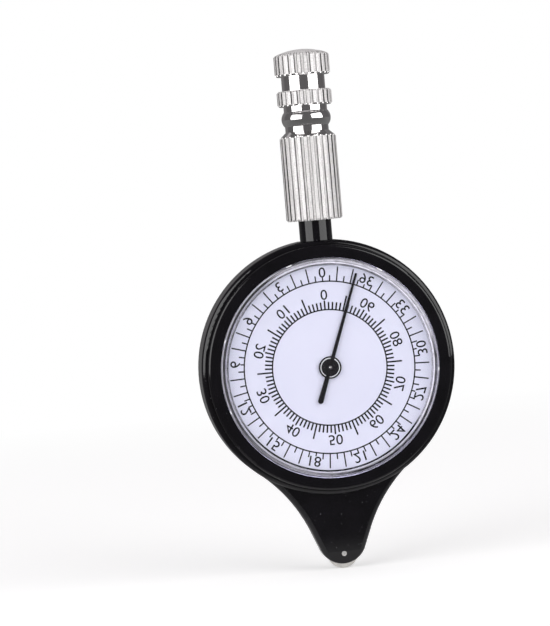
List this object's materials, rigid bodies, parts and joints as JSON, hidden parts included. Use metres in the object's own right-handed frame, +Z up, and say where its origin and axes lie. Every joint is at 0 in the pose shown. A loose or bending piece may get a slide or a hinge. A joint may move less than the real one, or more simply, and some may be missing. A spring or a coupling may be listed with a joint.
{
  "type": "opisometer map measurer",
  "caption": "Round pocket map measurer: a small wheel in a tapered foot turns a hand over a two-scale dial through a gear train, under a fluted handle.",
  "frame": {"origin": "the point where the tracing wheel touches the map, in the middle of the case's thickness", "axes": "+Z up along the handle, -Y the way the dial faces, +X to the right of someone who reads the dial"},
  "size_m": [0.043, 0.0094, 0.0878],
  "materials": {
    "case_black": "polished black moulding",
    "stem_black": "polished black",
    "crystal_clear": "clear moulded crystal",
    "dial_white": "satin white enamel with black print",
    "hand_black": "satin black",
    "bright_nickel": "bright nickel plate",
    "wheel_metal": "turned, with a fine grip on the rim",
    "train_brass": "cut brass",
    "plate_brass": "brushed brass",
    "steel": "turned steel"
  },
  "bodies": {
    "case": {"front_case": "case_black", "rear_case": "case_black", "case_screws": "steel", "bezel": "case_black", "crystal": "crystal_clear", "dial": "dial_white", "movement_plate": "plate_brass", "plate_screws": "steel", "bridge": "plate_brass", "bridge_pillars": "plate_brass", "bridge_screws": "steel", "centre_bush": "train_brass", "tension_washer": "steel", "wheel_axle": "bright_nickel", "first_arbor": "steel", "second_arbor": "steel", "stem": "stem_black", "handle": "bright_nickel"},
    "tracing_wheel": {"tracing_wheel": "wheel_metal", "wheel_pinion": "train_brass"},
    "first_wheel": {"first_gear": "train_brass", "first_pinion": "train_brass"},
    "second_wheel": {"second_gear": "train_brass", "second_pinion": "train_brass"},
    "centre_wheel": {"centre_gear": "train_brass", "centre_arbor": "steel", "hand": "hand_black", "hand_cap": "hand_black"}
  },
  "joints": [
    {"name": "hand_turn", "type": "hinge", "parent": "case", "child": "centre_wheel", "pos_m": [0, 0, 0.03425], "axis": [0, 1, 0], "continuous": true},
    {"name": "wheel_spin", "type": "hinge", "parent": "case", "child": "tracing_wheel", "pos_m": [0, 0, 0.00265], "axis": [0, 1, 0], "continuous": true},
    {"name": "first_wheel_spin", "type": "hinge", "parent": "case", "child": "first_wheel", "pos_m": [0, 0, 0.00745], "axis": [0, 1, 0], "continuous": true},
    {"name": "second_wheel_spin", "type": "hinge", "parent": "case", "child": "second_wheel", "pos_m": [0, 0, 0.01745], "axis": [0, 1, 0], "continuous": true}
  ],
  "couplings": [
    {"joint": "second_wheel_spin", "follows": "hand_turn", "ratio": -3},
    {"joint": "first_wheel_spin", "follows": "hand_turn", "ratio": 12},
    {"joint": "wheel_spin", "follows": "hand_turn", "ratio": -60}
  ]
}
